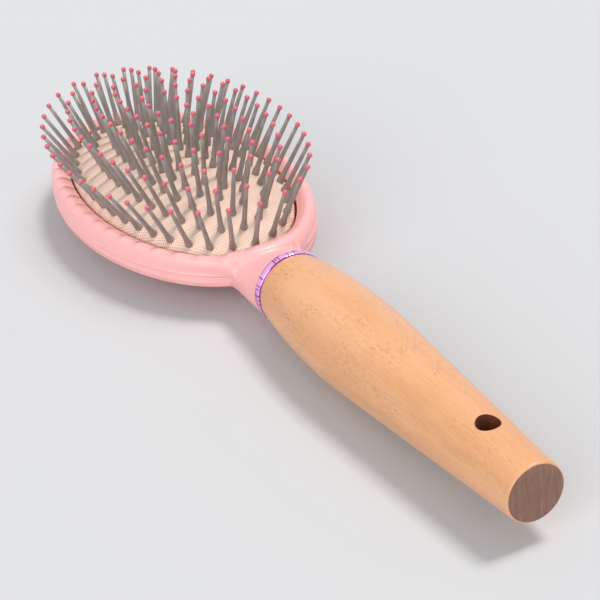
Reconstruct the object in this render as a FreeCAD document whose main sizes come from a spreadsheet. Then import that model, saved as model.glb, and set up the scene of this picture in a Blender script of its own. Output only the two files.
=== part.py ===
"""Air-cushion hairbrush: moulded oval head, domed rubber cushion with rows of pins,
metallised ring and turned wooden handle.

Frame, in millimetres: +X runs along the brush from the head to the end of the handle, +Y is
across it and +Z is up, out of the cushion.  The origin is under the middle of the brush, at
the level of the lowest line of the handle.
"""
import FreeCAD, Part
import math
import os

import Sketcher

V = FreeCAD.Vector
doc = FreeCAD.newDocument("cushion_brush")

# ---------------------------------------------------------------------------------------
# Driving sizes, in millimetres or plain numbers
# ---------------------------------------------------------------------------------------
SIZES = [
    # moulded head: an upper frame on a shallow back shell
    ("head_length", 110.0), ("head_width", 64.2), ("frame_height", 5.0), ("frame_edge", 1.6),
    ("rim_at_ends", 4.9), ("rim_at_sides", 5.8), ("bevel_width", 2.3), ("bevel_drop", 1.6),
    ("lip", 1.2), ("joint_wall", 2.4), ("wall", 2.0), ("tongue_height", 1.0),
    ("back_depth", 8.0), ("back_side", 2.0), ("seat_gap", 0.1),
    # neck, ring and tang
    ("neck_length", 10.5), ("neck_rim_rise", 5.4), ("neck_rim_under", 8.6),
    ("neck_run_in", 25.0), ("neck_root_under", 7.6),
    ("ring_width", 2.5), ("ring_radius", 10.0), ("ring_edge", 0.4),
    ("spigot_radius", 7.0), ("tang_radius", 4.5), ("tang_length", 24.0), ("groove_depth", 0.5),
    ("groove_width", 1.5), ("groove_pitch", 8.0), ("fit_gap", 0.05),
    # turned handle
    ("handle_length", 107.0), ("handle_start_radius", 9.7), ("handle_swell_radius", 11.9),
    ("handle_swell_at", 29.0), ("handle_end_radius", 7.3), ("handle_end_edge", 0.6),
    ("bore_spare", 2.0), ("hang_hole_radius", 2.8), ("hang_hole_from_end", 17.5),
    # rubber cushion
    ("dome_height", 8.6), ("dome_spread", 0.6), ("cushion_wall", 1.2), ("opening_gap", 0.25),
    # pins and their ball tips
    ("pin_margin", 2.7), ("pin_length", 15.2), ("foot_radius", 1.2), ("foot_height", 2.2),
    ("shank_radius", 0.75), ("shank_end_radius", 0.58), ("tip_radius", 0.85),
    ("pin_lift", 0.12), ("fan_length", 110.0), ("fan_width", 35.5), ("end_pin_share", 0.40),
]
# Rows of pins from the edge to the middle: how many pins in the row, and the row's length and
# width as shares of the outer row's
PIN_ROWS = {
    "outer": [38, 1.0, 1.0],
    "second": [32, 0.87, 0.73],
    "third": [26, 0.74, 0.48],
    "fourth": [20, 0.585, 0.28],
    "centre": [10, 0.275, 0.13],
}
# Flat sides that stand for a round pin, the round neck and handle and the curved walls of the
# bowl and the cushion, straight runs in the handle's swell, and the shares of full width at
# which the walls of the bowl and the cushion change slope
PIN_SIDES = 4
NECK_SIDES = 24
HANDLE_SIDES = 48
HANDLE_RUNS = 6
OVAL_SIDES = 60
BOWL_SHARES = (0.93, 0.77, 0.52)
DOME_SHARES = (0.84, 0.66, 0.46, 0.25, 0.08)

sheet = doc.addObject("Spreadsheet::Sheet", "sizes")
for line, (alias, value) in enumerate(SIZES, start=1):
    sheet.set(f"A{line}", alias)
    sheet.set(f"B{line}", str(value))
    sheet.setAlias(f"B{line}", alias)
doc.recompute()


def size(alias):
    """The value of one named cell of the sheet."""
    return float(getattr(sheet, alias))


# Places that several pieces share, as expressions on the sheet
HALF_BRUSH = ("((sizes.head_length + sizes.neck_length + sizes.ring_width"
              " + sizes.handle_length) / 2)")
HEAD_X = f"(sizes.head_length / 2 - {HALF_BRUSH})"
SEAT_X = f"({HALF_BRUSH} - sizes.handle_length)"          # where the handle meets the ring
AXIS_Z = "(sizes.handle_swell_radius)"                    # also the plane of the head's joint
LIP_TOP = "(sizes.frame_height - sizes.bevel_drop)"       # above that plane
LIP_BELOW = f"({LIP_TOP} - sizes.lip)"
HEAD_A, HEAD_B = "(sizes.head_length / 2)", "(sizes.head_width / 2)"
OPEN_A, OPEN_B = f"({HEAD_A} - sizes.rim_at_ends)", f"({HEAD_B} - sizes.rim_at_sides)"
JOINT_A, JOINT_B = f"({HEAD_A} - sizes.joint_wall)", f"({HEAD_B} - sizes.joint_wall)"
CAVITY_A, CAVITY_B = f"({JOINT_A} - sizes.wall)", f"({JOINT_B} - sizes.wall)"
RISE = "(1 - sqrt(1 - sizes.dome_spread * sizes.dome_spread))"
DOME_C = f"(sizes.dome_height / {RISE})"                  # half height of the whole ellipsoid
SKIRT = f"(1 - sizes.opening_gap / {OPEN_B})"             # shares of the opening's width
HOLLOW = f"({SKIRT} - sizes.cushion_wall / {OPEN_B})"


def value_of(expression):
    """What an expression on the sheet comes to, as a number."""
    result = sheet.evalExpression(expression)
    return float(getattr(result, "Value", result))


# ---------------------------------------------------------------------------------------
# How pieces are drawn
# ---------------------------------------------------------------------------------------
def bind(obj, **expressions):
    """Bind properties of an object; a dot in a name is written as two underscores."""
    for name, expression in expressions.items():
        obj.setExpression(name.replace("__", "."), expression)
    return obj


def new_body(label, x="0", z="0"):
    """A PartDesign body whose own origin stands at x, 0, z."""
    body = doc.addObject("PartDesign::Body", label)
    body.Label = label
    return bind(body, Placement__Base__x=x, Placement__Base__z=z)


def new_sketch(body, name, plane, offset="0"):
    """A sketch on one of the body's own planes, moved along that plane's normal."""
    sketch = body.newObject("Sketcher::SketchObject", name)
    origin_plane = next(f for f in body.Origin.OriginFeatures if f.Role == plane)
    sketch.AttachmentSupport = [(origin_plane, "")]
    sketch.MapMode = "FlatFace"
    return bind(sketch, AttachmentOffset__Base__z=offset)


def fix(sketch, name, expression, *constraint):
    """Add one named dimension to a sketch and bind it to the sheet."""
    index = sketch.addConstraint(Sketcher.Constraint(*constraint, value_of(expression)))
    sketch.renameConstraint(index, name)
    sketch.setExpression(f"Constraints.{name}", expression)


def oval(sketch, name, half_length, half_width):
    """An ellipse about the sketch's origin, long along its x axis."""
    ellipse = sketch.addGeometry(Part.Ellipse(V(0, 0, 0), value_of(half_length), value_of(half_width)),
                                 False)
    sketch.exposeInternalGeometry(ellipse)
    along, across = ellipse + 1, ellipse + 2
    sketch.addConstraint(Sketcher.Constraint("Coincident", ellipse, 3, -1, 1))
    sketch.addConstraint(Sketcher.Constraint("Horizontal", along))
    fix(sketch, f"{name}_length", f"2 * {half_length}", "Distance", along, 1, along, 2)
    fix(sketch, f"{name}_width", f"2 * {half_width}", "Distance", across, 1, across, 2)


def ring_circle(sketch, name, radius):
    """A circle about the sketch's origin."""
    curve = sketch.addGeometry(Part.Circle(V(0, 0, 0), V(0, 0, 1), value_of(radius)), False)
    sketch.addConstraint(Sketcher.Constraint("Coincident", curve, 3, -1, 1))
    fix(sketch, name, radius, "Radius", curve)


def extrude(body, kind, name, sketch, length, reversed_way=False):
    """A pad or a pocket of a sketch."""
    feature = body.newObject(f"PartDesign::{kind}", name)
    feature.Profile = sketch
    feature.Reversed = reversed_way
    sketch.Visibility = False
    return bind(feature, Length=length)


def edges_where(shape, test):
    """Names of the edges of a shape whose bounding box passes a test."""
    return [f"Edge{i}" for i, edge in enumerate(shape.Edges, start=1) if test(edge.BoundBox)]


def near(first, second, slack=1e-3):
    return abs(first - second) < slack


def chamfer(body, name, base, edge_names, amount):
    feature = body.newObject("PartDesign::Chamfer", name)
    feature.Base = (base, edge_names)
    return bind(feature, Size=amount)


def oval_block(label, half_length, half_width, foot, height):
    """An upright solid of oval plan that stands at foot above the joint's plane."""
    edge = bind(doc.addObject("Part::Ellipse", f"{label}_edge"), MajorRadius=half_length,
                MinorRadius=half_width, Placement__Base__x=HEAD_X,
                Placement__Base__z=f"{AXIS_Z} + {foot}")
    block = doc.addObject("Part::Extrusion", label)
    block.Base, block.Dir, block.DirMode, block.Solid = edge, V(0, 0, 1), "Custom", True
    return bind(block, LengthFwd=height)


def rod(label, radius, start, length):
    """A round solid on the brush's long axis, with its start given as a place along it."""
    cylinder = doc.addObject("Part::Cylinder", label)
    cylinder.Placement.Rotation = FreeCAD.Rotation(V(0, 1, 0), 90)
    return bind(cylinder, Radius=radius, Height=length, Placement__Base__x=start,
                Placement__Base__z=AXIS_Z)


def combine(kind, label, *parts):
    """A Part boolean: a cut of two objects, or a fuse or common of several."""
    result = doc.addObject(f"Part::{kind}", label)
    if kind == "Cut":
        result.Base, result.Tool = parts
    else:
        result.Shapes = list(parts)
    return result


def plated(levels, folded=False):
    """A closed solid of flat plates between rings of points, the rings in order.

    Each plate between two rings has four corners, or is folded into two of three corners.
    """
    plates = [Part.Face(Part.makePolygon(ring + ring[:1])) for ring in (levels[0], levels[-1])]
    for lower, upper in zip(levels, levels[1:]):
        for i in range(len(lower)):
            corners = [lower[i - 1], lower[i], upper[i], upper[i - 1]]
            for plate in (corners[:3], corners[2:] + corners[:1]) if folded else (corners,):
                plates.append(Part.Face(Part.makePolygon(plate + plate[:1])))
    solid = Part.Solid(Part.Shell(plates))
    if solid.Volume < 0:
        solid.reverse()
    return solid


def sided_ring(half_length, half_width, height, sides, shift=0):
    """Points of an oval with flat sides, level at a height, its middle shifted across."""
    turns = [2 * math.pi * i / sides for i in range(sides)]
    return [V(half_length * math.cos(turn), shift + half_width * math.sin(turn), height)
            for turn in turns]


def plated_oval(label, half_length, half_width, levels):
    """A plated solid over the joint's plane from (share of full width, height) levels."""
    a, b = value_of(half_length), value_of(half_width)
    feature = doc.addObject("Part::Feature", label)
    feature.Shape = plated([sided_ring(share * a, share * b, height, OVAL_SIDES)
                            for share, height in levels])
    return bind(feature, Placement__Base__x=HEAD_X, Placement__Base__z=AXIS_Z)


# ---------------------------------------------------------------------------------------
# Upper frame of the head: rounded rim, bevel down to the opening, lip over the cushion
# ---------------------------------------------------------------------------------------
def make_head_frame():
    body = new_body("head_frame", HEAD_X, AXIS_Z)
    outline = new_sketch(body, "frame_outline", "XY_Plane")
    oval(outline, "head", HEAD_A, HEAD_B)
    extrude(body, "Pad", "frame_block", outline, "sizes.frame_height")

    bevel_foot = new_sketch(body, "bevel_foot", "XY_Plane", LIP_TOP)
    oval(bevel_foot, "opening", OPEN_A, OPEN_B)
    bevel_top = new_sketch(body, "bevel_top", "XY_Plane", "sizes.frame_height")
    oval(bevel_top, "crest", f"({OPEN_A} + sizes.bevel_width)", f"({OPEN_B} + sizes.bevel_width)")
    bevel = body.newObject("PartDesign::SubtractiveLoft", "bevel")
    bevel.Profile = bevel_foot
    bevel.Sections = [bevel_top]
    bevel.Ruled = True

    opening = new_sketch(body, "opening_outline", "XY_Plane", LIP_TOP)
    oval(opening, "opening", OPEN_A, OPEN_B)
    extrude(body, "Pocket", "opening", opening, LIP_TOP)
    recess = new_sketch(body, "recess_outline", "XY_Plane", LIP_BELOW)
    oval(recess, "recess", f"({JOINT_A} + sizes.seat_gap)", f"({JOINT_B} + sizes.seat_gap)")
    pocket = extrude(body, "Pocket", "flange_recess", recess, LIP_BELOW)
    doc.recompute()
    top, far = size("frame_height"), size("head_length") / 2
    rim = edges_where(pocket.Shape, lambda box: near(box.ZMin, top) and near(box.XMax, far))
    chamfer(body, "rim_edge", pocket, rim, "sizes.frame_edge")
    return body


# ---------------------------------------------------------------------------------------
# Back shell of the head, with the neck, the ring's spigot and the tang in one moulding
# ---------------------------------------------------------------------------------------
def bowl_levels(depth, side, brim):
    """Levels of a dish: upright at its side, then down to the floor on a quarter of an ellipse."""
    bend = depth - side
    last = math.sqrt(1 - BOWL_SHARES[-1] ** 2)
    slope = [(share, -side - bend * math.sqrt(1 - share ** 2) / last) for share in BOWL_SHARES]
    return slope[::-1] + [(1, -side), (1, brim)]


def make_head_back():
    depth, side, brim = size("back_depth"), size("back_side"), size("tongue_height")
    bowl = plated_oval("bowl_outside", HEAD_A, HEAD_B, bowl_levels(depth, side, 0))
    hollow = plated_oval("bowl_hollow", CAVITY_A, CAVITY_B,
                         bowl_levels(depth - size("wall"), side, brim))
    tongue = oval_block("tongue", JOINT_A, JOINT_B, "0", "sizes.tongue_height")

    # The neck sinks from the ring's height to the rim's and runs in under the frame, whose
    # outline is cut out of it above the joint: (place before the ring, top, underside)
    face = f"({HEAD_X} + {HEAD_A} + sizes.neck_length)"
    radius, rim_rise = size("ring_radius"), size("neck_rim_rise")
    stations = [(-size("neck_length") - size("neck_run_in"), 0, size("neck_root_under")),
                (-size("neck_length") - size("joint_wall"), rim_rise, size("neck_rim_under")),
                (0, radius, radius)]
    block = doc.addObject("Part::Feature", "neck_block")
    block.Shape = plated([sided_ring(radius, (top + under) / 2, place, NECK_SIDES, (top - under) / 2)
                          for place, top, under in stations], folded=True)
    block.Placement.Rotation = FreeCAD.Rotation(V(0, 1, 0), V(0, 0, 1), V(1, 0, 0), "ZXY")
    bind(block, Placement__Base__x=face, Placement__Base__z=AXIS_Z)
    seat = oval_block("frame_seat", HEAD_A, HEAD_B, "0", "2 * sizes.ring_radius")
    neck = combine("Cut", "neck", block, seat)

    spigot = rod("spigot", "sizes.spigot_radius", face, "sizes.ring_width")
    tang_root = f"({face} + sizes.ring_width)"
    tang = rod("tang_rod", "sizes.tang_radius", tang_root, "sizes.tang_length")
    for count in range(1, 3):
        place = f"{tang_root} + {count} * sizes.groove_pitch"
        band = rod(f"groove_band_{count}", "sizes.tang_radius + sizes.groove_depth", place,
                   "sizes.groove_width")
        core = rod(f"groove_core_{count}", "sizes.tang_radius - sizes.groove_depth", place,
                   "sizes.groove_width")
        tang = combine("Cut", f"tang_{count}", tang, combine("Cut", f"groove_{count}", band, core))
    solid = combine("MultiFuse", "back_block", bowl, tongue, neck, spigot, tang)
    return combine("Cut", "head_back", solid, hollow)


# ---------------------------------------------------------------------------------------
# Metallised ring between the neck and the handle
# ---------------------------------------------------------------------------------------
def make_ring():
    body = new_body("ferrule_ring", f"({SEAT_X} - sizes.ring_width)", AXIS_Z)
    outline = new_sketch(body, "ring_outline", "YZ_Plane")
    ring_circle(outline, "outside", "sizes.ring_radius")
    ring_circle(outline, "inside", "sizes.spigot_radius + sizes.fit_gap")
    band = extrude(body, "Pad", "band", outline, "sizes.ring_width")
    doc.recompute()
    outer = edges_where(band.Shape, lambda box: near(box.YMax, size("ring_radius"))
                        and near(box.XMin, box.XMax))
    chamfer(body, "band_edges", band, outer, "sizes.ring_edge")
    return body


# ---------------------------------------------------------------------------------------
# Turned handle: swell arc, easing arc and straight taper, with the tang's bore and a hole
# ---------------------------------------------------------------------------------------
def handle_outline():
    """(place along the handle, radius): an arc through the ring's end and the swell, a taper, a
    bevelled end."""
    start, swell, end = (size(f"handle_{name}_radius") for name in ("start", "swell", "end"))
    swell_at, length, edge = size("handle_swell_at"), size("handle_length"), size("handle_end_edge")
    rise = swell - start
    bend = (swell_at ** 2 + rise ** 2) / (2 * rise)
    outline = []
    for run in range(HANDLE_RUNS + 1):
        place = 1.5 * swell_at * run / HANDLE_RUNS
        outline.append((place, swell - bend + math.sqrt(bend ** 2 - (place - swell_at) ** 2)))
    return outline + [(length - edge, end), (length, end - edge)]


def make_handle():
    blank = doc.addObject("Part::Feature", "handle_blank")
    blank.Shape = plated([sided_ring(radius, radius, place, HANDLE_SIDES)
                          for place, radius in handle_outline()])
    blank.Placement.Rotation = FreeCAD.Rotation(V(0, 1, 0), 90)
    bind(blank, Placement__Base__x=SEAT_X, Placement__Base__z=AXIS_Z)
    bore = rod("tang_bore", "sizes.tang_radius + sizes.fit_gap", SEAT_X,
               "sizes.tang_length + sizes.bore_spare")
    hole = bind(doc.addObject("Part::Cylinder", "hang_hole"), Radius="sizes.hang_hole_radius",
                Height=f"2 * {AXIS_Z}", Placement__Base__x=f"{HALF_BRUSH} - sizes.hang_hole_from_end")
    return combine("Cut", "handle", combine("Cut", "bored_blank", blank, bore), hole)


# ---------------------------------------------------------------------------------------
# Rubber cushion: an oval dome of even wall on a flat flange that the lip holds down
# ---------------------------------------------------------------------------------------
def dome_height(share, across=0):
    """Height of the dome over the joint's plane, at shares of the opening's length and width."""
    spread = size("dome_spread") ** 2 * (share ** 2 + across ** 2)
    crown = value_of(LIP_TOP) + size("dome_height")
    return crown - value_of(DOME_C) * (1 - math.sqrt(1 - spread))


def make_cushion():
    foot, skirt, hollow_edge = size("tongue_height"), value_of(SKIRT), value_of(HOLLOW)
    outside = [(share, dome_height(share)) for share in (skirt,) + DOME_SHARES]
    column = plated_oval("cushion_column", OPEN_A, OPEN_B, [(skirt, foot)] + outside)
    inside = [(share, dome_height(share) - size("cushion_wall"))
              for share in (hollow_edge,) + DOME_SHARES]
    hollow = plated_oval("cushion_hollow", OPEN_A, OPEN_B, [(hollow_edge, 0)] + inside)
    flange = oval_block("cushion_flange", f"{JOINT_A} - sizes.seat_gap",
                        f"{JOINT_B} - sizes.seat_gap", "sizes.tongue_height",
                        f"{LIP_BELOW} - sizes.tongue_height")
    return combine("Cut", "cushion", combine("MultiFuse", "cushion_block", column, flange), hollow)


# ---------------------------------------------------------------------------------------
# Pins: rows on nested ovals, each pin fanned out from the middle of the dome
# ---------------------------------------------------------------------------------------
def oval_stations(half_length, half_width, count):
    """Points at equal steps along an ellipse, from its end on the handle's side."""
    steps = 720
    points = [V(half_length * math.cos(2 * math.pi * i / steps),
                half_width * math.sin(2 * math.pi * i / steps), 0) for i in range(steps + 1)]
    run = [0.0]
    for first, second in zip(points, points[1:]):
        run.append(run[-1] + first.distanceToPoint(second))
    stations, i = [], 0
    for k in range(count):
        target = run[-1] * k / count
        while run[i + 1] < target:
            i += 1
        share = (target - run[i]) / (run[i + 1] - run[i])
        stations.append(points[i] + (points[i + 1] - points[i]) * share)
    return stations


def pin_placements(length_share, width_share, count, with_ends):
    """Where the pins of one row stand on the dome, and how they lean."""
    a, b = value_of(OPEN_A), value_of(OPEN_B)
    half_length, half_width = a - size("pin_margin"), b - size("pin_margin")
    stations = oval_stations(length_share * half_length, width_share * half_width, count)
    if with_ends:
        reach = size("end_pin_share") * half_length
        stations += [V(reach, 0, 0), V(-reach, 0, 0)]
    placements = []
    for point in stations:
        lean = V(point.x / size("fan_length"), point.y / size("fan_width"), 1).normalize()
        height = value_of(AXIS_Z) + dome_height(point.x / a, point.y / b)
        foot = V(value_of(HEAD_X) + point.x, point.y, height) + lean * size("pin_lift")
        placements.append(FreeCAD.Placement(foot, FreeCAD.Rotation(V(0, 0, 1), lean)))
    return placements


def make_pin_row(name, count, length_share, width_share):
    tip_radius, length = size("tip_radius"), size("pin_length")
    shank_end, end_radius = length - 0.7 * tip_radius, size("shank_end_radius")
    pin = [(0, size("foot_radius")), (size("foot_height"), size("shank_radius")),
           (shank_end, end_radius)]
    tip = [(shank_end, end_radius), (length, tip_radius), (length + tip_radius, 0.4 * tip_radius)]
    placements = pin_placements(length_share, width_share, count, name == "centre")
    made = []
    for kind, outline in (("pins", pin), ("tips", tip)):
        shape = plated([sided_ring(radius, radius, height, PIN_SIDES) for height, radius in outline])
        copies = [shape.transformed(place.toMatrix(), True) for place in placements]
        feature = doc.addObject("Part::Feature", f"{kind}_{name}")
        feature.Shape = Part.makeCompound(copies)
        made.append(feature)
    return made


# ---------------------------------------------------------------------------------------
# Build, check and write
# ---------------------------------------------------------------------------------------
pieces = [make_head_frame(), make_head_back(), make_ring(), make_handle(), make_cushion()]
for row_name, row in PIN_ROWS.items():
    pieces += make_pin_row(row_name, *row)
doc.recompute()

failed = [obj.Name for obj in doc.Objects if {"Invalid", "Error"} & set(obj.State)]
failed += [piece.Label for piece in pieces if piece.Shape.isNull() or not piece.Shape.isValid()]
if failed:
    raise RuntimeError(f"these did not build: {failed}")

os.makedirs("parts", exist_ok=True)
for piece in pieces:
    piece.Shape.exportStep(f"parts/{piece.Label}.step")
    print(f"{piece.Label}: {len(piece.Shape.Solids)} solids, {piece.Shape.Volume:.1f} mm3")
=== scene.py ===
"""An oval cushion hairbrush: a pink head in two mouldings with a domed rubber cushion, five rows
of fanned pins with ball tips, a lilac metallised ring and a turned beech handle.

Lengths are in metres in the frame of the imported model: +X runs along the brush towards the end
of the handle and +Z up through the pins. The materials read the same frame.
"""
import math

import bmesh
import bpy
import numpy as np
from mathutils import Matrix, Vector


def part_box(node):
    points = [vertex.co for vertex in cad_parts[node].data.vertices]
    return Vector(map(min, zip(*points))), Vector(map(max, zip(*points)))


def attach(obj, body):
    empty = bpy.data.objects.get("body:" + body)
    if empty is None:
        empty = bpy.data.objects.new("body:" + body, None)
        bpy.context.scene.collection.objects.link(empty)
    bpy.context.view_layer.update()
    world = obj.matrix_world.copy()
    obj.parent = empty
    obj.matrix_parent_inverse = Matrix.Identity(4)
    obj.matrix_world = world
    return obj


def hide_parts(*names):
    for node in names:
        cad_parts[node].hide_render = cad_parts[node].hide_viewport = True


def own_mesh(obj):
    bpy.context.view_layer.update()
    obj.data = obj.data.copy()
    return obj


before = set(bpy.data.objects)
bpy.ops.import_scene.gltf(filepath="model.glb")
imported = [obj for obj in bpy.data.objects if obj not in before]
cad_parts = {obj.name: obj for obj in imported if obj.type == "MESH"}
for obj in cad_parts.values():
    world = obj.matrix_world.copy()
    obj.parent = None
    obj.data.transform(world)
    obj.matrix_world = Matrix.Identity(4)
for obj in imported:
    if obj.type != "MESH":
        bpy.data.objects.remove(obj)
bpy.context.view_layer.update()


# =======================================================================================
# Upper moulding of the head. A pink injection-moulded frame: a rounded rim with a bevel down
# to the opening for the cushion, running on into the top half of the neck. It is glued to
# the lower moulding along a fine joint.
# =======================================================================================
MM = 0.001
rim_low, rim_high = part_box("head_frame")
neck_end_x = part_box("ferrule_ring")[0][0]
head_x = (rim_low[0] + rim_high[0]) / 2
head_half_length = (rim_high[0] - rim_low[0]) / 2
head_half_width = (rim_high[1] - rim_low[1]) / 2
opening_half_length, opening_half_width = head_half_length - 4.9 * MM, head_half_width - 5.8 * MM
joint_z = rim_low[2]
lip_z = rim_high[2] - 1.6 * MM
rim_rise, lip_rise = rim_high[2] - joint_z, lip_z - joint_z
neck_radius, neck_reach = 9.9 * MM, neck_end_x - head_x
# Where the neck's side meets the oval, from the middle of the head
pinch_x = head_half_length * math.sqrt(1 - (neck_radius / head_half_width) ** 2)


def ray_angles(end_steps=49, side_steps=34, oval_steps=330):
    """Angles of the rays from the middle of the head to its outline, by even steps over the
    neck's end, along its side, round the oval by arc length and along the neck's other side."""
    over_end = np.arctan2(neck_radius * np.sin(np.linspace(-np.pi / 2, np.pi / 2, end_steps)), neck_reach)
    along_side = np.arctan2(neck_radius, np.linspace(neck_reach, pinch_x, side_steps)[1:])
    turn = np.linspace(0, 2 * np.pi, 20001)
    x, y = head_half_length * np.cos(turn), head_half_width * np.sin(turn)
    arc = np.concatenate([[0], np.cumsum(np.hypot(np.diff(x), np.diff(y)))])
    angle = np.unwrap(np.arctan2(y, x))
    start = np.interp(along_side[-1], angle, arc)
    round_oval = np.interp(np.linspace(start, arc[-1] - start, oval_steps)[1:-1], arc, angle)
    return np.concatenate([over_end, along_side, round_oval, 2 * np.pi - along_side[::-1]])


rays = ray_angles()
ray_x, ray_y = np.cos(rays), np.sin(rays)


def smooth_max(first, second, width):
    """The larger of two values, raised by width n^2 / 4 where they are nearly equal; n goes
    from 1 where they are the same to 0 where they differ by the width."""
    near = np.maximum(width - np.abs(first - second), 0) / width
    return np.maximum(first, second) + width * near ** 2 / 4


def oval_reach(half_length, half_width):
    """Distance to an oval along each ray: 1 / sqrt((cos / half_length)^2 + (sin / half_width)^2)."""
    return 1 / np.sqrt((ray_x / half_length) ** 2 + (ray_y / half_width) ** 2)


def outline(fillet):
    """Reach of the head's plan along each ray: the larger of the oval and the neck's strip, which
    is the smaller of neck_reach / cos and neck_radius / |sin|. A fillet of that width fills the
    corner between them. Over the neck's end the strip counts alone."""
    toward_neck = ray_x > 0
    strip = np.minimum(neck_reach / np.maximum(ray_x, 0.05), neck_radius / np.maximum(np.abs(ray_y), 1e-6))
    strip = np.where(toward_neck, strip, 0)
    on_end = toward_neck & (np.abs(ray_y / ray_x) <= neck_radius / neck_reach * 1.0001)
    return np.where(on_end, strip, smooth_max(strip, oval_reach(head_half_length, head_half_width), fillet))


sharp_outline, joint_outline, rim_outline = outline(0.2 * MM), outline(1.2 * MM), outline(4.0 * MM)
# 1 on the head's own wall, fading to 0 on the neck, where the two mouldings show no joint
wall_end_x, wall_fade = pinch_x - 0.3 * MM, 3.5 * MM
on_wall = np.clip((wall_end_x - ray_x * joint_outline) / wall_fade, 0, 1)


def on_rays(reach, rise):
    """Points row by row: out along each ray by its reach, and over the joint by its rise."""
    reach, rise = np.broadcast_arrays(reach, rise)
    return np.stack([head_x + reach * ray_x, reach * ray_y, joint_z + rise], axis=-1).reshape(-1, 3)


def neck_rise(crown, y):
    """Height of the neck across its strip: crown sqrt(1 - (y / neck_radius)^2), and a steep
    fall beside the strip."""
    inside = np.clip(1 - (y / neck_radius) ** 2, 0, 1)
    return crown * np.sqrt(inside) - 4 * np.maximum(np.abs(y) - neck_radius, 0)


def neck_crown(x, root, run_in, power, fade=20 * MM):
    """Height of the neck's middle line: it grows from the root's height to the neck's radius at
    the ring by (share of the way)^power, and fades out towards the middle of the head."""
    start = head_half_length - run_in
    way = np.clip((x - start) / (neck_reach - start), 0, 1)
    return (root + (neck_radius - root) * way ** power) * np.clip(x / fade, 0, 1)


def rim_share(x, y):
    """How far a point lies from the head's edge, 0, to the opening, 1: the share at which the
    oval between the two passes through it, found by halving."""
    low, high = np.full(x.shape, -4.0), np.full(x.shape, 1.5)
    for _ in range(40):
        middle = (low + high) / 2
        half_length = head_half_length + (opening_half_length - head_half_length) * middle
        half_width = head_half_width + (opening_half_width - head_half_width) * middle
        inside = (x / half_length) ** 2 + (y / half_width) ** 2 < 1
        low, high = np.where(inside, middle, low), np.where(inside, high, middle)
    return (low + high) / 2


def rim_section(share, crest=0.46, power=2.2, foot=1.5 * MM):
    """Height of the rim: a shoulder, foot + (rise - foot) (1 - ((crest - share) / crest)^p)^(1/p),
    up to the crest, then a bevel that falls to the lip by ((share - crest) / (1 - crest))^1.5.
    Outside the head's edge it falls away."""
    outer = np.clip((crest - share) / crest, 0, 1)
    shoulder = foot + (rim_rise - foot) * (1 - outer ** power) ** (1 / power)
    bevel = rim_rise - (rim_rise - lip_rise) * np.clip((share - crest) / (1 - crest), 0, 1) ** 1.5
    return np.where(share < crest, shoulder, bevel) + 30 * MM * np.minimum(share, 0)


def wall_rows(edge, steps, flare):
    """Reach and rise of the rows down a moulding's wall. Each step is the share of the edge's
    height that is left on the neck, and the inset and the greatest height on the head's wall
    in mm. The flare is added to the outline in the same share."""
    share, inset, level = np.array(steps).T[:, :, None]
    rise = np.where(on_wall > 0, np.minimum(edge, level * MM), edge * share)
    return joint_outline + flare * share - inset * MM * on_wall, rise


def grid_quads(rows, columns):
    """Quads of a grid whose rows are closed loops of points; the last row of quads leads from
    the last row of points back to the first."""
    here = np.arange(rows * columns).reshape(rows, columns)
    beside = np.roll(here, -1, axis=1)
    return np.stack([here, beside, np.roll(beside, -1, axis=0), np.roll(here, -1, axis=0)], axis=-1)


def new_piece(name, points, faces, material):
    """A smooth piece at the origin, with its faces turned outward."""
    mesh = bpy.data.meshes.new(name)
    mesh.from_pydata(points.tolist(), [], faces)
    skin = bmesh.new()
    skin.from_mesh(mesh)
    bmesh.ops.recalc_face_normals(skin, faces=skin.faces)
    skin.to_mesh(mesh)
    skin.free()
    mesh.polygons.foreach_set("use_smooth", [True] * len(mesh.polygons))
    mesh.materials.append(material)
    piece = bpy.data.objects.new(name, mesh)
    bpy.context.scene.collection.objects.link(piece)
    return piece


def new_material(name, roughness, **more):
    """A Principled material; more names further inputs. Returns the material and its shader."""
    material = bpy.data.materials.new(name)
    material.use_nodes = True
    shader = material.node_tree.nodes["Principled BSDF"]
    shader.inputs["Roughness"].default_value = roughness
    for socket, value in more.items():
        shader.inputs[socket.replace("_", " ")].default_value = value
    return material, shader


def node(owner, kind, inputs=(), **settings):
    """A node with its settings; inputs is a list of (socket name or number, value or socket)."""
    made = owner.node_tree.nodes.new(kind)
    for name, value in settings.items():
        setattr(made, name, value)
    for socket, value in inputs:
        if isinstance(value, bpy.types.NodeSocket):
            owner.node_tree.links.new(value, made.inputs[socket])
        else:
            made.inputs[socket].default_value = value
    return made


def join(owner, source, target, socket):
    """Links an output to a node's input."""
    owner.node_tree.links.new(source, target.inputs[socket])


def maths(material, operation, first, second=0.0):
    """One step of arithmetic between two sockets or numbers."""
    return node(material, "ShaderNodeMath", [(0, first), (1, second)], operation=operation).outputs[0]


def mixed(material, share, first, second, blend_type="MIX"):
    """The first colour mixed with a share of the second."""
    return node(material, "ShaderNodeMix", [(0, share), (6, first), (7, second)], data_type="RGBA",
                blend_type=blend_type).outputs[2]


def ramp(material, factor, *stops):
    """A colour ramp through (position, colour) stops."""
    made = node(material, "ShaderNodeValToRGB", [(0, factor)])
    band = made.color_ramp
    band.elements[0].position, band.elements[0].color = stops[0][0], (*stops[0][1], 1)
    band.elements[1].position, band.elements[1].color = stops[-1][0], (*stops[-1][1], 1)
    for position, colour in stops[1:-1]:
        band.elements.new(position).color = (*colour, 1)
    return made.outputs["Color"]


def place(material, scale=(1, 1, 1), turn=(0, 0, 0)):
    """Object coordinates, scaled along each axis and turned."""
    coordinates = node(material, "ShaderNodeTexCoord").outputs["Object"]
    return node(material, "ShaderNodeMapping", [("Vector", coordinates), ("Scale", scale),
                                                ("Rotation", turn)]).outputs["Vector"]


def split(material, vector):
    """The x, y and z of a vector."""
    return node(material, "ShaderNodeSeparateXYZ", [(0, vector)]).outputs


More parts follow.
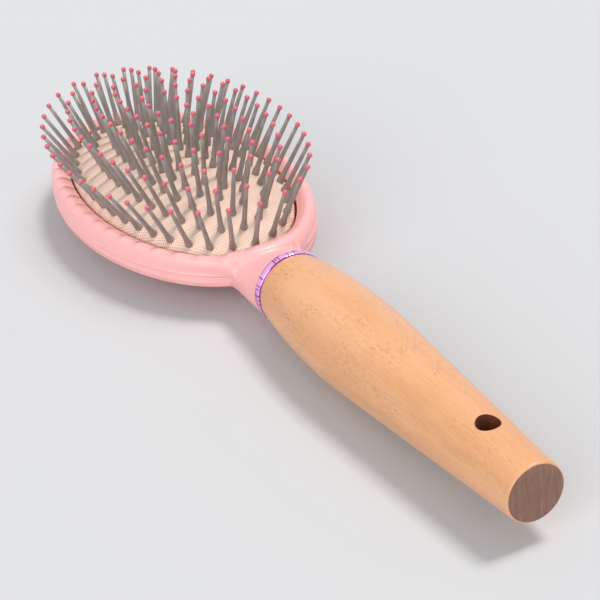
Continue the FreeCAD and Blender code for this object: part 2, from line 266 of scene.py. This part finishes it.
def noise(material, per_metre, detail):
    """Cloudy noise with so many blotches to the metre along x, y and z."""
    return node(material, "ShaderNodeTexNoise", [("Vector", place(material, per_metre)), ("Scale", 1.0),
                                                 ("Detail", detail)]).outputs[0]


def bump(material, shader, height, strength, distance):
    """Dents and bumps in the shading from a height."""
    raised = node(material, "ShaderNodeBump", [("Height", height), ("Strength", strength),
                                               ("Distance", distance)])
    join(material, raised.outputs["Normal"], shader, "Normal")


# Satin plastic with a faint cloudiness and a very fine moulded grain. Inside the opening the lip's
# wall is painted orange, a painted glow for the light that the thin lip lets through.
pink, shader = new_material("pink_plastic", 0.42, Specular_IOR_Level=0.8, Subsurface_Weight=0.15,
                            Subsurface_Scale=0.002, Subsurface_Radius=(1.0, 0.45, 0.35))
cloudy = ramp(pink, noise(pink, (45, 45, 45), 3.0), (0.3, (0.97, 0.44, 0.42)), (0.7, (0.985, 0.475, 0.455)))
# Painted glow: the orange given to the lip's wall inside the opening stands for light let through the
# plastic.
painted_lip_glow = (0.95, 0.20, 0.07, 1)
glow_width, glow_foot = 0.12 * MM, 0.5 * MM
x, y, z = split(pink, place(pink))
along = maths(pink, "DIVIDE", maths(pink, "SUBTRACT", x, head_x), opening_half_length + glow_width)
across = maths(pink, "DIVIDE", y, opening_half_width + glow_width)
in_oval = maths(pink, "LESS_THAN", maths(pink, "ADD", maths(pink, "MULTIPLY", along, along),
                                       maths(pink, "MULTIPLY", across, across)), 1.0)
in_opening = maths(pink, "MULTIPLY", in_oval, maths(pink, "GREATER_THAN", z, joint_z + glow_foot))
join(pink, mixed(pink, in_opening, cloudy, painted_lip_glow), shader, "Base Color")
bump(pink, shader, noise(pink, (5200, 5200, 5200), 2.0), 0.12, 0.00002)

# The top, from the opening out to the edge of the plan. Rim and neck are drawn on the sharp
# outline, blended, and smoothed along the outline near the pinch.
opening = oval_reach(opening_half_length, opening_half_width)
share = 1 - np.linspace(1, 0, 52)[:, None] ** 1.25
drawn = opening + (sharp_outline - opening) * share
x, y = drawn * ray_x, drawn * ray_y
crown = neck_crown(x, root=4.1 * MM, run_in=4.5 * MM, power=1.45)
fillet, least_rise = 6.5 * MM, 0.03 * MM
rise = np.maximum(smooth_max(rim_section(rim_share(x, y)), neck_rise(crown, y), fillet), least_rise)
smooth_width, smooth_passes = 4.5 * MM, 40
near_pinch = np.exp(-((ray_x * joint_outline - pinch_x) / smooth_width) ** 2)
for _ in range(smooth_passes):
    bend = np.roll(rise, 1, axis=1) + np.roll(rise, -1, axis=1) - 2 * rise
    rise = rise + near_pinch * bend / 4
shoulder_inset = 0.32 * MM
top = on_rays(opening + (rim_outline - shoulder_inset * on_wall - opening) * share, rise)

# The lip's inner wall, the outer wall with its bead and groove down to the joint, and the hidden
# inner edge of the joint
lip_wall = [on_rays(opening * 1.045, lip_rise - 1.15 * MM), on_rays(opening * 1.002, lip_rise - 1.1 * MM),
            on_rays(opening, lip_rise - 0.35 * MM)]
outer_wall = on_rays(*wall_rows(rise[-1], ((0.8, 0.30, 1.05), (0.6, 0.12, 0.78), (0.5, 0.0, 0.58),
                                           (0.3, 0.0, 0.28), (0.1, 0.06, 0.12), (0.0, 0.42, 0.05),
                                           (0.0, 0.55, 0.0)), flare=rim_outline - joint_outline))
joint_wall = 3 * MM
joint_edge = on_rays(oval_reach(head_half_length - joint_wall, head_half_width - joint_wall), 0.0)
points = np.concatenate([*lip_wall, top, outer_wall, joint_edge])
quads = grid_quads(len(points) // len(rays), len(rays))
rim = new_piece("head_rim", points, quads.reshape(-1, 4).tolist(), pink)
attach(rim, "brush")
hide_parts("head_frame")


# =======================================================================================
# Lower moulding of the head. A shallow bowl behind the cushion with the underside of the
# neck, moulded in the same pink plastic and glued under the upper moulding.
# =======================================================================================
bowl_depth, bowl_side, bowl_inset = joint_z - 3.9 * MM, 2.0 * MM, 0.30 * MM
keel_fillet, least_drop, most_drop = 1.6 * MM, 0.03 * MM, joint_z - 0.2 * MM


def capped_faces(rows, columns, copies=1):
    """Faces of closed tubes, each a grid of rows with one polygon over its first and last row."""
    first = rows * columns * np.arange(copies)
    quads = first[:, None, None] + grid_quads(rows, columns)[:-1].reshape(1, -1, 4)
    start = first[:, None] + np.arange(columns)[::-1]
    end = first[:, None] + (rows - 1) * columns + np.arange(columns)
    return quads.reshape(-1, 4).tolist() + start.tolist() + end.tolist()


# The bowl hangs below the joint by side + (depth - side) sqrt(1 - (reach / oval)^2)
share = np.sin(np.linspace(0.01, np.pi / 2, 60))[:, None]
reach = (joint_outline - bowl_inset * on_wall) * share
oval = oval_reach(head_half_length, head_half_width)
bowl = bowl_side + (bowl_depth - bowl_side) * np.sqrt(np.clip(1 - (reach / oval) ** 2, 0, 1))
bowl = bowl - 8 * np.maximum(reach - oval, 0)
keel = neck_crown(reach * ray_x, root=6.6 * MM, run_in=28 * MM, power=0.9)
drop = np.clip(smooth_max(bowl, neck_rise(keel, reach * ray_y), keel_fillet), least_drop, most_drop)
wall_reach, wall_drop = wall_rows(drop[-1], ((0.9, 0.28, 1.85), (0.8, 0.16, 1.70), (0.7, 0.16, 1.50),
                                             (0.6, 0.28, 1.35), (0.3, 0.28, 0.6), (0.1, 0.30, 0.12),
                                             (0.0, 0.55, 0.0)), flare=0.0)
points = np.concatenate([on_rays(reach, -drop), on_rays(wall_reach, -wall_drop),
                         on_rays(opening * 0.02, -0.02 * MM)])
back = new_piece("head_shell", points, capped_faces(len(points) // len(rays), len(rays)), pink)
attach(back, "brush")
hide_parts("head_back")


# =======================================================================================
# Ring. A narrow, slightly crowned band of vacuum-metallised lilac plastic, nearly a mirror,
# that hides the joint of the neck and the wood.
# =======================================================================================
ring_low, ring_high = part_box("ferrule_ring")
axis_z = (ring_low[2] + ring_high[2]) / 2
ring_radius = (ring_high[2] - ring_low[2]) / 2
ring_middle_x, ring_half_width = (ring_low[0] + ring_high[0]) / 2, (ring_high[0] - ring_low[0]) / 2
ring_bore, ring_crown, ring_easing, painted_shade_edge = 7.2 * MM, 0.38 * MM, 0.04 * MM, 0.2 * MM

# Dark red streaks on the metal layer are painted reflections of the pins; both edges get painted shade
lilac, shader = new_material("lilac_metal", 0.20, Metallic=0.75)
# The dark red streaks stand for the pins mirrored in the band: painted reflections.
film_with_painted_reflections = ramp(lilac, noise(lilac, (20, 1100, 1100), 1.0), (0.0, (0.97, 0.52, 0.92)), (0.58, (0.95, 0.47, 0.90)),
            (0.62, (0.38, 0.05, 0.20)), (1.0, (0.38, 0.05, 0.20)))
off_middle = maths(lilac, "ABSOLUTE", maths(lilac, "SUBTRACT", split(lilac, place(lilac))[0], ring_middle_x))
# The outer 0.2 mm of each edge is painted dark: painted shade of the gaps beside the ring.
at_painted_shade_edge = maths(lilac, "GREATER_THAN", off_middle, ring_half_width - painted_shade_edge)
join(lilac, mixed(lilac, at_painted_shade_edge, film_with_painted_reflections, (0.30, 0.06, 0.26, 1)), shader, "Base Color")
bump(lilac, shader, noise(lilac, (150, 260, 260), 1.0), 0.25, 0.0003)


def spun(radii, heights, columns):
    """Points row by row of a profile spun about z: (radius cos, radius sin, height)."""
    turn = np.linspace(0, 2 * np.pi, columns, endpoint=False)
    radii, heights = np.array(radii)[:, None], np.array(heights)[:, None]
    grid = np.broadcast_arrays(radii * np.cos(turn), radii * np.sin(turn), heights)
    return np.stack(grid, axis=-1).reshape(-1, 3)


def turned(name, profile, material, steps=192):
    """A piece whose profile of (x, radius) points is spun about the brush's long axis."""
    points = spun(profile[:, 1], profile[:, 0], steps)[:, (2, 0, 1)] + (0, 0, axis_z)
    return new_piece(name, points, capped_faces(len(profile), steps), material)


# The band's height over its width: crown (1 - |off middle|^3.2)^0.55
off = np.linspace(-1, 1, 15)
band = np.stack([ring_middle_x + (ring_half_width - ring_easing) * off,
                 ring_radius - ring_crown + ring_crown * (1 - np.abs(off) ** 3.2) ** 0.55], axis=1)
side_radius = ring_radius - ring_crown - ring_easing
profile = np.concatenate([[(ring_low[0], ring_bore), (ring_low[0], side_radius)], band,
                          [(ring_high[0], side_radius), (ring_high[0], ring_bore)]])
ring = turned("ring", profile, lilac)
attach(ring, "brush")
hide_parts("ferrule_ring")


# =======================================================================================
# Handle. One piece of beech, turned with a swell, tapered to a flat end and varnished. A hole
# for hanging is drilled across near the end.
# =======================================================================================
handle_low, handle_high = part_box("handle")
handle_length = handle_high[0] - handle_low[0]
swell_radius, start_radius, end_radius = (handle_high[2] - handle_low[2]) / 2, 9.7 * MM, 7.3 * MM
swell_at, end_rounding, end_stain = 29 * MM, 0.8 * MM, 0.12 * MM
hole_x, hole_radius, hole_rounding, hole_shade_margin = handle_high[0] - 17.5 * MM, 2.8 * MM, 0.3 * MM, 0.07 * MM

# Beech: a warm base with soft bands, and short thin flecks along the grain that come in patches
# and thin out towards the end. The sawn end is stained darker; the hole's wall gets painted shade.
wood, shader = new_material("varnished_wood", 0.40, Coat_Weight=0.2, Coat_Roughness=0.3, Sheen_Weight=0.25,
                            Sheen_Roughness=0.4, Sheen_Tint=(1.0, 0.72, 0.68, 1))
tone = ramp(wood, noise(wood, (16, 150, 150), 4.0), (0.3, (0.72, 0.335, 0.145)), (0.5, (0.79, 0.385, 0.182)),
            (0.72, (0.835, 0.43, 0.225)))
fibre = ramp(wood, noise(wood, (110, 2400, 2400), 2.0), (0.3, (0.93, 0.90, 0.86)), (0.7, (1.0, 1.0, 1.0)))
patches = ramp(wood, noise(wood, (60, 140, 140), 1.0), (0.38, (0, 0, 0)), (0.58, (1, 1, 1)))
flecks = ramp(wood, noise(wood, (620, 5200, 5200), 0.0), (0.60, (0, 0, 0)), (0.75, (1, 1, 1)))
x, y, _ = split(wood, place(wood))
thinning = node(wood, "ShaderNodeMapRange", [("Value", x), ("From Min", handle_low[0]), ("To Min", 1.0),
                                             ("From Max", handle_high[0]), ("To Max", 0.25)]).outputs[0]
marks = maths(wood, "MULTIPLY", maths(wood, "MULTIPLY", flecks, patches), thinning)
face = mixed(wood, marks, mixed(wood, 1.0, tone, fibre, "MULTIPLY"), (0.42, 0.15, 0.045, 1))
end_grain = ramp(wood, noise(wood, (400, 1100, 200), 3.0), (0.35, (0.215, 0.090, 0.056)),
                 (0.60, (0.265, 0.125, 0.084)), (0.80, (0.32, 0.20, 0.16)))
face = mixed(wood, maths(wood, "GREATER_THAN", x, handle_high[0] - end_stain), face, end_grain)
# The wall of the hole is painted near-black brown: painted shade inside the hole.
from_hole = maths(wood, "SUBTRACT", x, hole_x)
from_hole = maths(wood, "SQRT", maths(wood, "ADD", maths(wood, "MULTIPLY", from_hole, from_hole),
                                    maths(wood, "MULTIPLY", y, y)))
in_painted_hole_shade = maths(wood, "LESS_THAN", from_hole, hole_radius + hole_shade_margin)
join(wood, mixed(wood, in_painted_hole_shade, face, (0.13, 0.034, 0.012, 1)), shader, "Base Color")
bump(wood, shader, marks, -0.1, 0.00005)

# The profile: an arc of one circle over the swell, swell - R + sqrt(R^2 - (x - swell_at)^2), then
# a straight taper and a quarter round at the end
bulge = swell_radius - start_radius
arc_radius = (swell_at ** 2 + bulge ** 2) / (2 * bulge)
arc_x = np.linspace(0.4 * MM, 1.5 * swell_at, 60)
arc_y = swell_radius - arc_radius + np.sqrt(arc_radius ** 2 - (arc_x - swell_at) ** 2)
arc = np.stack([arc_x, arc_y], axis=1)
taper = np.linspace(arc[-1], (handle_length - end_rounding, end_radius), 50)[1:]
turn = np.linspace(0, np.pi / 2, 8)[1:]
rounding = np.stack([handle_length - end_rounding + end_rounding * np.sin(turn),
                     end_radius - end_rounding + end_rounding * np.cos(turn)], axis=1)
profile = np.concatenate([[(0.0, start_radius - 0.45 * MM), (0.12 * MM, start_radius - 0.12 * MM)],
                          arc, taper, rounding, [(handle_length, 1.0 * MM)]])
handle = turned("handle_turned", profile + (handle_low[0], 0), wood)

# The hole is cut right through, and the sharp edges are eased
drill_reach, drill_steps = 14 * MM, 64
points = spun([hole_radius, hole_radius], [axis_z - drill_reach, axis_z + drill_reach], drill_steps)
drill = new_piece("drill", points + (hole_x, 0, 0), capped_faces(2, drill_steps), wood)
hole = handle.modifiers.new("hole", "BOOLEAN")
hole.operation, hole.solver, hole.object = "DIFFERENCE", "EXACT", drill
ease = handle.modifiers.new("ease", "BEVEL")
ease.width, ease.segments, ease.limit_method, ease.angle_limit = hole_rounding, 2, "ANGLE", math.radians(40)
drilled = bpy.data.meshes.new_from_object(handle.evaluated_get(bpy.context.evaluated_depsgraph_get()))
handle.modifiers.clear()
handle.data = drilled
bpy.data.objects.remove(drill)
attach(handle, "brush")
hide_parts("handle")


# =======================================================================================
# Cushion. One thin dome of beige rubber, held under the lip of the frame with air behind it.
# Its matt face has rows of fine pits like the weave of a cloth.
# =======================================================================================
foot_z, dome_top_z = (corner[2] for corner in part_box("cushion"))
# The dome is a cap of a ball: its edge lies at this share of the ball's radius
cap_share = 0.6
ball_rise = (dome_top_z - lip_z) / (1 - math.sqrt(1 - cap_share ** 2))
pit_pitch, dome_steps = 0.92 * MM, 240


def dome_height(u, v):
    """Height of the dome at shares u and v of the opening's half length and half width:
    top - ball_rise (1 - sqrt(1 - cap_share^2 (u^2 + v^2)))."""
    return dome_top_z - ball_rise * (1 - np.sqrt(1 - cap_share ** 2 * (u ** 2 + v ** 2)))


rubber, shader = new_material("cushion_rubber", 0.62)
x, y, _ = split(rubber, place(rubber, turn=(0, 0, math.radians(12))))
waves = [maths(rubber, "SINE", maths(rubber, "MULTIPLY", axis, 2 * math.pi / pit_pitch)) for axis in (x, y)]
pits = maths(rubber, "MULTIPLY", *waves)
# The pits are painted darker towards their bottoms: painted shade in the pits, on top of their bump.
depth = node(rubber, "ShaderNodeMapRange", [("Value", pits), ("From Min", -1.0), ("From Max", 1.0)])
join(rubber, ramp(rubber, depth.outputs[0], (0.10, (0.55, 0.34, 0.25)), (0.40, (0.84, 0.60, 0.48)),
                  (1.0, (0.92, 0.69, 0.57))), shader, "Base Color")
bump(rubber, shader, pits, 0.4, 0.00005)

# The hem inside the frame, then the dome from its edge to its top. Past turn_down its edge dips
# by edge_dip ((share - turn_down) / 0.05)^2.
edge_dip, turn_down = 0.45 * MM, 0.925
share = np.linspace(0.975, 0.02, 40)
dome = dome_height(share, 0) - edge_dip * np.maximum(0, (share - turn_down) / 0.05) ** 2
hem_z = foot_z + 0.2 * MM
hem = [(0.93, hem_z), (0.978, hem_z), (0.980, lip_z - 1.0 * MM), (0.979, lip_z - 0.2 * MM)]
profile = np.concatenate([hem, np.stack([share, dome], axis=1)])
points = spun(*profile.T, dome_steps) * (opening_half_length, opening_half_width, 1) + (head_x, 0, 0)
cushion = new_piece("cushion_dome", points, capped_faces(len(profile), dome_steps), rubber)
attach(cushion, "brush")
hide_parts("cushion")
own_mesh(cushion)


# =======================================================================================
# Pins and their tips. Grey-brown nylon pins with flared feet stand in the rubber in five rows on
# nested ovals, fanned out from the middle, each with a glossy rose ball on its end.
# =======================================================================================
pin_rows = (("outer", 1.0, 1.0, 38), ("second", 0.87, 0.73, 32), ("third", 0.74, 0.48, 26),
            ("fourth", 0.585, 0.28, 20), ("centre", 0.275, 0.13, 10))
row_half_length, row_half_width = opening_half_length - 2.7 * MM, opening_half_width - 2.7 * MM
end_pins = [[0.40 * row_half_length, 0], [-0.40 * row_half_length, 0]]
fan_length, fan_width = 110 * MM, 35.5 * MM
pin_lift, pin_length, ball_radius, pin_sides = 0.12 * MM, 15.2 * MM, 0.75 * MM, 12
# Height and radius in mm; the first 0.8 mm is the stub in the rubber
pin_profile = np.array([(-0.8, 0.72), (-0.1, 0.92), (0.25, 1.10), (0.9, 1.02), (1.8, 0.82), (2.9, 0.72),
                        (6.5, 0.64), (11.0, 0.56), (14.75, 0.51)]) * MM
turn = np.linspace(0.12, math.pi - 0.12, 7)
ball_profile = np.stack([pin_length - ball_radius * np.cos(turn), ball_radius * np.sin(turn)], axis=1)

nylon, shader = new_material("pin_plastic", 0.36)
join(nylon, ramp(nylon, noise(nylon, (900, 900, 200), 2.0), (0.3, (0.27, 0.225, 0.205)),
                 (0.7, (0.35, 0.295, 0.27))), shader, "Base Color")
rose, shader = new_material("tip_plastic", 0.28, Subsurface_Weight=0.1, Subsurface_Scale=0.0005)
join(rose, ramp(rose, noise(rose, (260, 260, 260), 2.0), (0.3, (0.66, 0.115, 0.17)),
                (0.7, (0.77, 0.155, 0.21))), shader, "Base Color")


def oval_stations(half_length, half_width, count):
    """Points at equal steps of arc along an oval, from its end on the handle's side."""
    turn = np.linspace(0, 2 * np.pi, 721)
    points = np.stack([half_length * np.cos(turn), half_width * np.sin(turn)], axis=1)
    arc = np.concatenate([[0], np.cumsum(np.linalg.norm(np.diff(points, axis=0), axis=1))])
    wanted = arc[-1] * np.arange(count) / count
    return np.stack([np.interp(wanted, arc, points[:, axis]) for axis in (0, 1)], axis=1)


def planted(upright, feet, leans):
    """Copies of an upright pin, one on each foot. Each is turned to its lean by the smallest turn:
    with a the cross product of z and the lean, p + a x p + a x (a x p) / (1 + lean_z)."""
    axes = np.cross((0, 0, 1), leans)[:, None]
    once = np.cross(axes, upright)
    return (upright + once + np.cross(axes, once) / (1 + leans[:, None, 2:]) + feet[:, None]).reshape(-1, 3)


for name, length_share, width_share, count in pin_rows:
    stations = oval_stations(length_share * row_half_length, width_share * row_half_width, count)
    if name == "centre":
        stations = np.concatenate([stations, end_pins])
    x, y = stations.T
    leans = np.stack([x / fan_length, y / fan_width, np.ones(len(x))], axis=1)
    leans = leans / np.linalg.norm(leans, axis=1, keepdims=True)
    on_dome = dome_height(x / opening_half_length, y / opening_half_width)
    feet = np.stack([head_x + x, y, on_dome], axis=1) + pin_lift * leans
    for kind, profile, plastic, finish in (("pins", pin_profile, nylon, "pin_plastic"),
                                           ("tips", ball_profile, rose, "tip_plastic")):
        points = planted(spun(profile[:, 1], profile[:, 0], pin_sides), feet, leans)
        faces = capped_faces(len(profile), pin_sides, copies=len(feet))
        row = new_piece(f"{kind}_{name}_fine", points, faces, plastic)
        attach(row, f"row_{name}")
        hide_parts(f"{kind}_{name}")


# =======================================================================================
# Floor. A pale table top just under the swell of the handle, z = (swell_x - x) tan(tilt) less the
# gap, leaning a little towards the head. From below it is see-through.
# =======================================================================================
tilt, floor_gap, floor_reach = math.radians(0.9), 0.1 * MM, 3.0
swell_x = handle_low[0] + swell_at
table_top, shader = new_material("floor", 0.8)
join(table_top, ramp(table_top, noise(table_top, (5, 5, 5), 2.0), (0.0, (0.579, 0.573, 0.580)),
                     (1.0, (0.589, 0.583, 0.590))), shader, "Base Color")
from_below = node(table_top, "ShaderNodeNewGeometry").outputs["Backfacing"]
clear = node(table_top, "ShaderNodeBsdfTransparent").outputs[0]
see_through = node(table_top, "ShaderNodeMixShader", [(0, from_below), (1, shader.outputs[0]), (2, clear)])
join(table_top, see_through.outputs[0], table_top.node_tree.nodes["Material Output"], "Surface")
corners = np.array([(-1, -1, 0), (1, -1, 0), (1, 1, 0), (-1, 1, 0)]) * floor_reach
corners[:, 2] = (swell_x - corners[:, 0]) * math.tan(tilt) - floor_gap
floor_mesh = bpy.data.meshes.new("floor")
floor_mesh.from_pydata(corners.tolist(), [], [(0, 1, 2, 3)])
floor_mesh.materials.append(table_top)
floor = bpy.data.objects.new("floor", floor_mesh)
bpy.context.scene.collection.objects.link(floor)


# =======================================================================================
# Light. An even pale surround, which the camera and the glossy ring see as bright as the floor,
# a wide key lamp from above and behind, and a broad weak one from the front.
# =======================================================================================
world = bpy.data.worlds.new("studio")
bpy.context.scene.world = world
world.use_nodes = True
soft = world.node_tree.nodes["Background"]
soft.inputs["Color"].default_value = (0.88, 0.98, 1.02, 1)
soft.inputs["Strength"].default_value = 0.58
seen = node(world, "ShaderNodeBackground", [("Color", (0.775, 0.785, 0.80, 1))])
path = node(world, "ShaderNodeLightPath").outputs
straight = node(world, "ShaderNodeMath", [(0, path["Is Camera Ray"]), (1, path["Is Glossy Ray"])],
                operation="ADD", use_clamp=True)
either = node(world, "ShaderNodeMixShader", [(0, straight.outputs[0]), (1, soft.outputs[0]),
                                             (2, seen.outputs[0])])
join(world, either.outputs[0], world.node_tree.nodes["World Output"], "Surface")


def lamp(name, toward, spread, strength, colour):
    """A distant lamp that shines from a direction, with the width of its disc in degrees."""
    light = bpy.data.lights.new(name, "SUN")
    light.angle, light.energy, light.color = math.radians(spread), strength, colour
    made = bpy.data.objects.new(name, light)
    made.location = toward
    made.rotation_euler = Vector(toward).to_track_quat("Z", "Y").to_euler()
    bpy.context.scene.collection.objects.link(made)


lamp("key", (0.03, 0.40, 0.88), 17, 2.02, (1.0, 0.945, 0.93))
lamp("fill", (0.45, -0.80, 0.48), 42, 1.42, (0.955, 0.985, 1.0))


# =======================================================================================
# Camera. It looks down on the brush from beyond the end of the handle, turned so that the brush
# lies from the top left to the bottom right. Its own right, up and back directions are given.
# =======================================================================================
right, up, back_of = (0.4712, 0.8763, -0.0996), (-0.3988, 0.3125, 0.8622), (0.7867, -0.3665, 0.4967)
camera_place = (0.3833, -0.1736, 0.2454)
camera_data = bpy.data.cameras.new("camera")
camera_data.lens, camera_data.sensor_width = 113.2, 36.0
camera = bpy.data.objects.new("camera", camera_data)
turn = Matrix((right, up, back_of)).transposed().to_4x4()
camera.matrix_world = Matrix.Translation(camera_place) @ turn
bpy.context.scene.collection.objects.link(camera)
bpy.context.scene.camera = camera
bpy.context.scene.view_settings.view_transform = "Standard"
